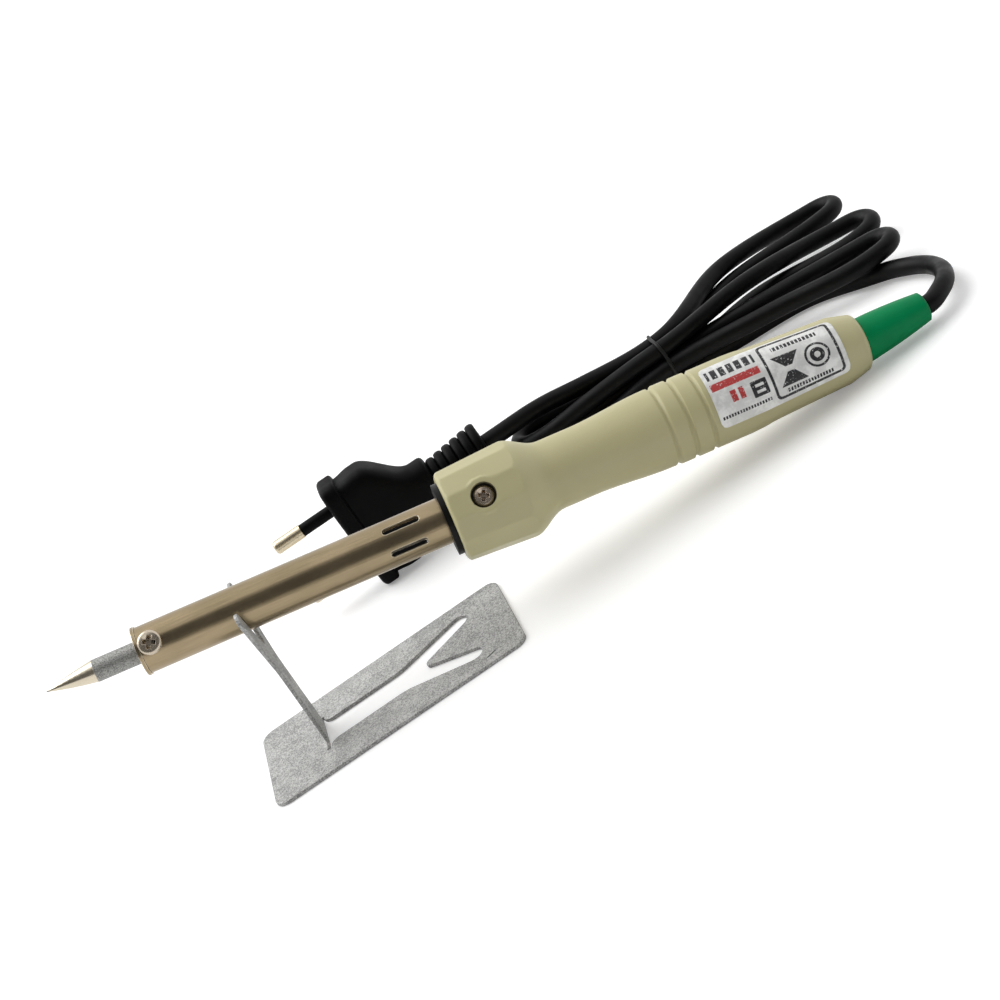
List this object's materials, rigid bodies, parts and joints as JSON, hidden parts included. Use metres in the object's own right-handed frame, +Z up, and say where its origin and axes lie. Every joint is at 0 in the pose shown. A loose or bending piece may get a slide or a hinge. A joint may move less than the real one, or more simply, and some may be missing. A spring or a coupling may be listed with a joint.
{
  "type": "soldering iron on its folding stand",
  "caption": "Pencil soldering iron resting in the notch of a folded sheet-steel stand, with its coiled cord and moulded mains plug.",
  "frame": {"origin": "centre of the stand plate's underside, on the bench", "axes": "+X along the stand plate towards the iron's handle, +Y across it towards the plug, +Z up"},
  "size_m": [0.2494, 0.1134, 0.0539],
  "materials": {
    "galvanised_steel": "brushed, satin",
    "plated_bit": "tinned cone, dull plated shank",
    "nickel_screw": "bright nickel",
    "tinted_steel": "satin, warm tinted",
    "heater_steel": "heat-darkened",
    "mica": "translucent flake sheet",
    "resistance_wire": "oxidised wire",
    "ceramic": "unglazed",
    "nickel_lead": "bright wire",
    "glass_sleeving": "braided glass fibre",
    "black_phenolic": "moulded, matt",
    "beige_plastic": "moulded, satin",
    "brass_screw": "zinc-yellow",
    "label_foil": "printed foil",
    "core_plastic": "soft vinyl",
    "green_rubber": "soft, satin",
    "black_cord": "vinyl, satin",
    "black_tie": "vinyl-coated wire",
    "black_plug": "moulded vinyl",
    "ceramic_plastic": "moulded",
    "nickel_brass": "nickel-plated"
  },
  "bodies": {
    "stand": {"stand_plate": "galvanised_steel", "cord_hank": "black_cord", "cord_tie": "black_tie", "plug_body": "black_plug", "plug_bridge": "ceramic_plastic", "plug_pins": "nickel_brass", "pin_sleeves": "black_plug", "plug_cores": "core_plastic"},
    "support": {"support_fork": "galvanised_steel"},
    "iron": {"front_bush": "tinted_steel", "barrel": "tinted_steel", "heater_tube": "heater_steel", "inner_mica": "mica", "heater_winding": "resistance_wire", "outer_mica": "mica", "heater_can": "heater_steel", "ceramic_bush": "ceramic", "lead_wires": "nickel_lead", "lead_sleeves": "glass_sleeving", "collar": "black_phenolic", "handle": "beige_plastic", "handle_screw": "brass_screw", "label_plate": "label_foil", "splices": "nickel_lead", "cord_cores": "core_plastic", "cord_grip": "black_phenolic", "cord_boot": "green_rubber", "cord_tail": "black_cord"},
    "bit": {"tip": "plated_bit"},
    "clamp_screw": {"tip_screw": "nickel_screw"}
  },
  "joints": [
    {"name": "support_fold", "type": "hinge", "parent": "stand", "child": "support", "pos_m": [-0.0195, 0, 0.0005], "axis": [0, 1, 0], "range_deg": [0, 87.2]},
    {"name": "iron_lift", "type": "slide", "parent": "stand", "child": "iron", "axis": [0, 0, 1], "range_m": [0, 0.06]},
    {"name": "bit_slide", "type": "slide", "parent": "iron", "child": "bit", "axis": [-0.9782, 0, 0.2077], "range_m": [0, 0.03]},
    {"name": "clamp_screw_turn", "type": "hinge", "parent": "iron", "child": "clamp_screw", "pos_m": [-0.0383, -0.00503, 0.0501], "axis": [0.1131, -0.8387, 0.5328], "range_deg": [0, 720]}
  ]
}
